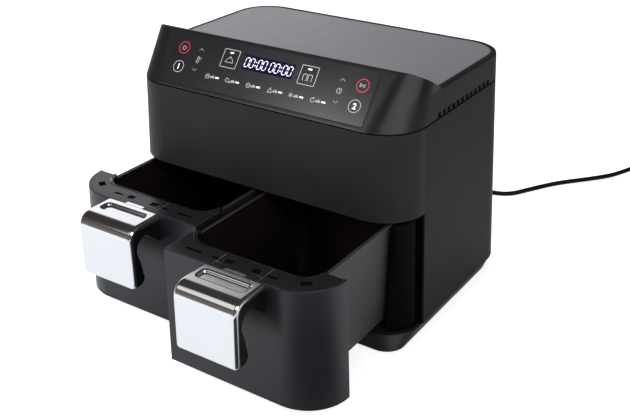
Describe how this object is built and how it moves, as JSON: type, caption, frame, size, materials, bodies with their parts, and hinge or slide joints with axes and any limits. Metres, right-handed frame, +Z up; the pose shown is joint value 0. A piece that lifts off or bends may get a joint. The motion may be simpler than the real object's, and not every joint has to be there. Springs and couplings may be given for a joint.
{
  "type": "air fryer",
  "caption": "Dual-drawer countertop air fryer with a slanted touch panel, two pull-out pans with chrome handles and a mains lead, drawers part way out.",
  "frame": {"origin": "on the table, under the middle of the footprint with both drawers pulled out as they rest", "axes": "+Z up, -Y towards the user (the drawers pull out along -Y), +X to the user's right"},
  "size_m": [0.5732, 1.0325, 0.333],
  "materials": {
    "shell_satin": "satin",
    "shell_black": "satin",
    "panel_glass": "gloss",
    "display": "gloss",
    "spring_steel": "plain",
    "circuit_board": "satin",
    "screw_steel": "plain",
    "frame_gloss": "gloss",
    "base_plastic": "satin",
    "feet_rubber": "matte",
    "switch_plastic": "satin",
    "cord_rubber": "satin",
    "plug_plastic": "satin",
    "liner_steel": "zinc-coated sheet",
    "element_steel": "heat-tinted",
    "fan_aluminium": "plain",
    "fan_plastic": "plain",
    "shaft_steel": "plain",
    "motor_steel": "plain",
    "drawer_satin": "satin",
    "drawer_frame_plastic": "satin",
    "handle_chrome": "polished",
    "grip_plastic": "satin",
    "nonstick_aluminium": "non-stick coated",
    "plate_silicone": "matte"
  },
  "bodies": {
    "housing": {"top_cover": "shell_satin", "touch_panel": "panel_glass", "display_module": "display", "touch_springs": "spring_steel", "control_board": "circuit_board", "board_screws": "screw_steel", "fascia": "shell_black", "housing_shell": "shell_black", "front_frame": "frame_gloss", "base_tray": "base_plastic", "rubber_feet": "feet_rubber", "base_screws": "screw_steel", "power_board": "circuit_board", "drawer_switches": "switch_plastic", "strain_relief": "cord_rubber", "mains_cord": "cord_rubber", "mains_plug": "plug_plastic", "right_liner": "liner_steel", "right_heat_shield": "liner_steel", "right_heating_element": "element_steel", "right_element_guard": "element_steel", "right_fan_motor": "motor_steel", "right_motor_bracket": "liner_steel", "right_exhaust_duct": "liner_steel", "left_liner": "liner_steel", "left_heat_shield": "liner_steel", "left_heating_element": "element_steel", "left_element_guard": "element_steel", "left_fan_motor": "motor_steel", "left_motor_bracket": "liner_steel", "left_exhaust_duct": "liner_steel"},
    "right_fan": {"right_hot_fan": "fan_aluminium", "right_cooling_fan": "fan_plastic", "right_fan_shaft": "shaft_steel"},
    "right_drawer": {"right_drawer_front": "drawer_satin", "right_drawer_frame": "drawer_frame_plastic", "right_handle_bracket": "drawer_frame_plastic", "right_handle_cover": "handle_chrome", "right_handle_grip": "grip_plastic", "right_handle_screws": "screw_steel", "right_pan": "nonstick_aluminium"},
    "right_crisper": {"right_crisper_plate": "nonstick_aluminium", "right_plate_feet": "plate_silicone"},
    "left_fan": {"left_hot_fan": "fan_aluminium", "left_cooling_fan": "fan_plastic", "left_fan_shaft": "shaft_steel"},
    "left_drawer": {"left_drawer_front": "drawer_satin", "left_drawer_frame": "drawer_frame_plastic", "left_handle_bracket": "drawer_frame_plastic", "left_handle_cover": "handle_chrome", "left_handle_grip": "grip_plastic", "left_handle_screws": "screw_steel", "left_pan": "nonstick_aluminium"},
    "left_crisper": {"left_crisper_plate": "nonstick_aluminium", "left_plate_feet": "plate_silicone"}
  },
  "joints": [
    {"name": "right_drawer_slide", "type": "slide", "parent": "housing", "child": "right_drawer", "axis": [0, -1, 0], "range_m": [-0.168, 0.094]},
    {"name": "right_crisper_lift", "type": "slide", "parent": "right_drawer", "child": "right_crisper", "axis": [0, 0, 1], "range_m": [0, 0.11]},
    {"name": "right_fan_spin", "type": "hinge", "parent": "housing", "child": "right_fan", "pos_m": [0.091, 0.11938, 0.2], "axis": [0, 0, 1], "continuous": true},
    {"name": "left_drawer_slide", "type": "slide", "parent": "housing", "child": "left_drawer", "axis": [0, -1, 0], "range_m": [-0.111, 0.151]},
    {"name": "left_crisper_lift", "type": "slide", "parent": "left_drawer", "child": "left_crisper", "axis": [0, 0, 1], "range_m": [0, 0.11]},
    {"name": "left_fan_spin", "type": "hinge", "parent": "housing", "child": "left_fan", "pos_m": [-0.091, 0.11938, 0.2], "axis": [0, 0, 1], "continuous": true}
  ]
}
